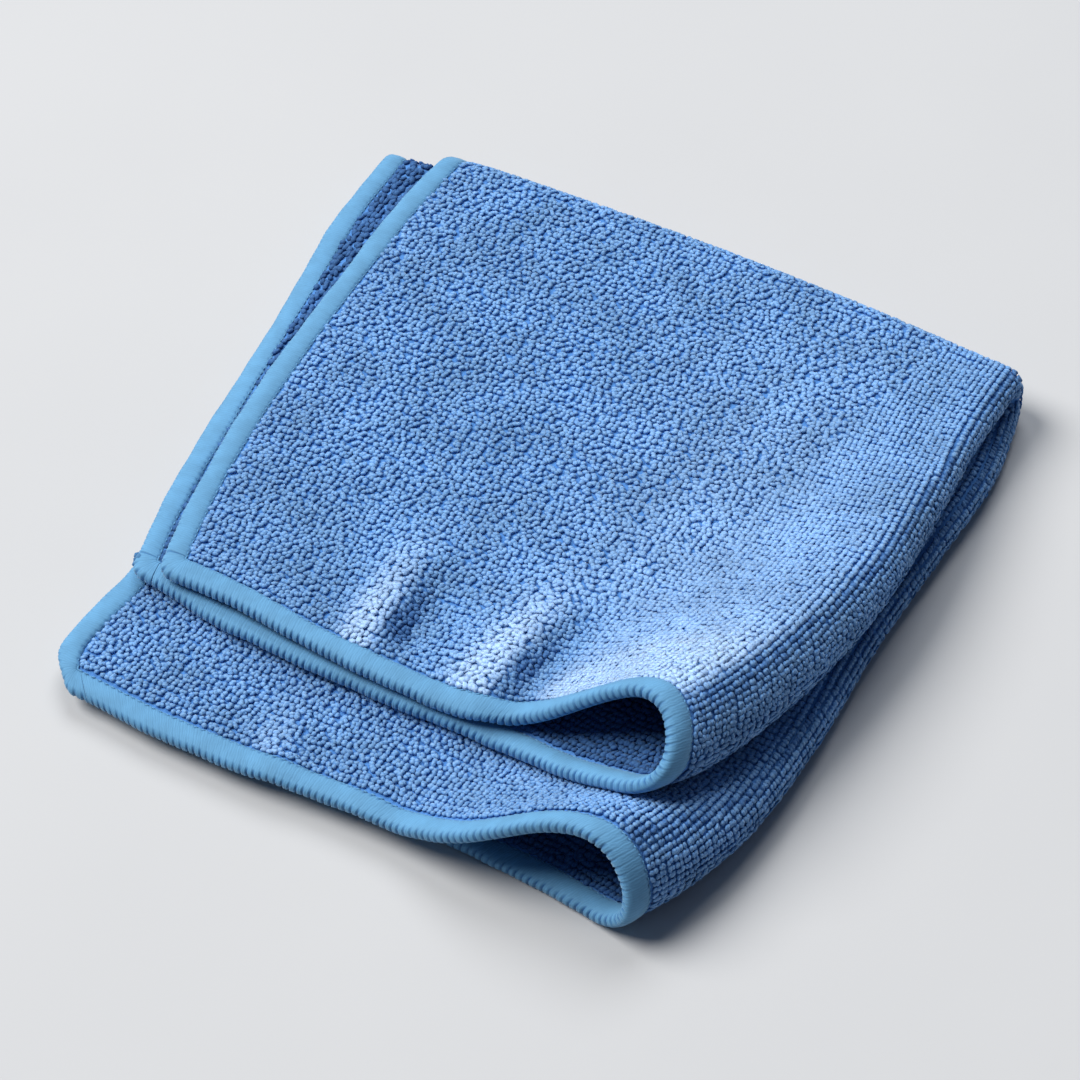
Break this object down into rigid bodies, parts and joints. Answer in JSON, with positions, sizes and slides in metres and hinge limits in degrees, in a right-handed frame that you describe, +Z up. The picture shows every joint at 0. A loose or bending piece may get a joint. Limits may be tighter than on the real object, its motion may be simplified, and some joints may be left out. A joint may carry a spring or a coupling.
{
  "type": "microfibre cloth",
  "caption": "Square cleaning cloth of blue looped microfibre terry with an overlocked edge, folded in half and in half again, with round open loops along its right-hand fold.",
  "frame": {"origin": "middle of the folded cloth's box, on the surface that it lies on", "axes": "+X to the right, towards the round loops; +Y back, towards the second fold; +Z up through the layers"},
  "size_m": [0.1627, 0.172, 0.0331],
  "materials": {
    "terry_pile": "looped terry pile, matte with a soft sheen",
    "edge_thread": "thick overlocked polyester thread, satin"
  },
  "bodies": {
    "root": {"terry_cloth": "terry_pile", "edge_binding": "edge_thread"}
  },
  "joints": []
}
